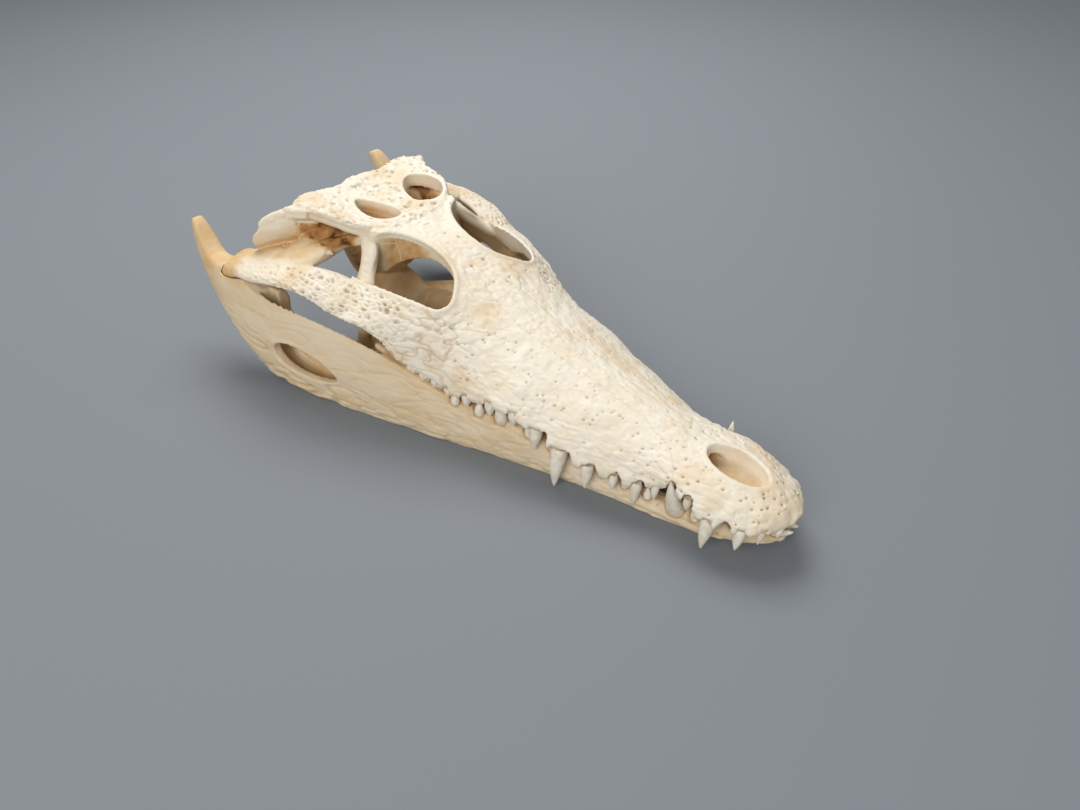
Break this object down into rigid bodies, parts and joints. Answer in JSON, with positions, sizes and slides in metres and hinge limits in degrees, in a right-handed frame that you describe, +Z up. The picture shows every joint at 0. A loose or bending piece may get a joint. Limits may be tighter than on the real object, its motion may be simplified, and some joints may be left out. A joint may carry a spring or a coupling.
{
  "type": "crocodile skull",
  "caption": "Bare skull of a young adult crocodile with its mouth closed, lying on its lower jaw; long pitted snout, open eye sockets, interlocking conical teeth.",
  "frame": {"origin": "middle of the base of the bounding box, on the surface that the lower jaw lies on", "axes": "+X to the tip of the snout, +Y to the left of the animal, +Z up"},
  "size_m": [0.373, 0.1698, 0.0984],
  "materials": {
    "skull_bone": "bleached off-white bone, pitted and grooved, matt",
    "rear_bone": "cream to tan bone of the rear of the skull, smoother, stained brown in its recesses",
    "inner_bone": "tan bone of the palate, smooth and matt",
    "jaw_bone": "warm cream bone with fine lengthwise grain, matt",
    "tooth_ivory": "greyish ivory tooth enamel, slightly glossy"
  },
  "bodies": {
    "root": {"premaxilla": "skull_bone", "maxilla_left": "skull_bone", "maxilla_right": "skull_bone", "frontal": "skull_bone", "skull_table": "skull_bone", "jugal_left": "skull_bone", "jugal_right": "skull_bone", "braincase": "rear_bone", "quadrate_left": "rear_bone", "quadrate_right": "rear_bone", "palatine": "inner_bone", "pterygoid": "inner_bone", "ectopterygoid_left": "inner_bone", "ectopterygoid_right": "inner_bone", "dentary_left": "jaw_bone", "dentary_right": "jaw_bone", "angular_left": "jaw_bone", "angular_right": "jaw_bone", "articular_left": "jaw_bone", "articular_right": "jaw_bone"}
  },
  "joints": []
}
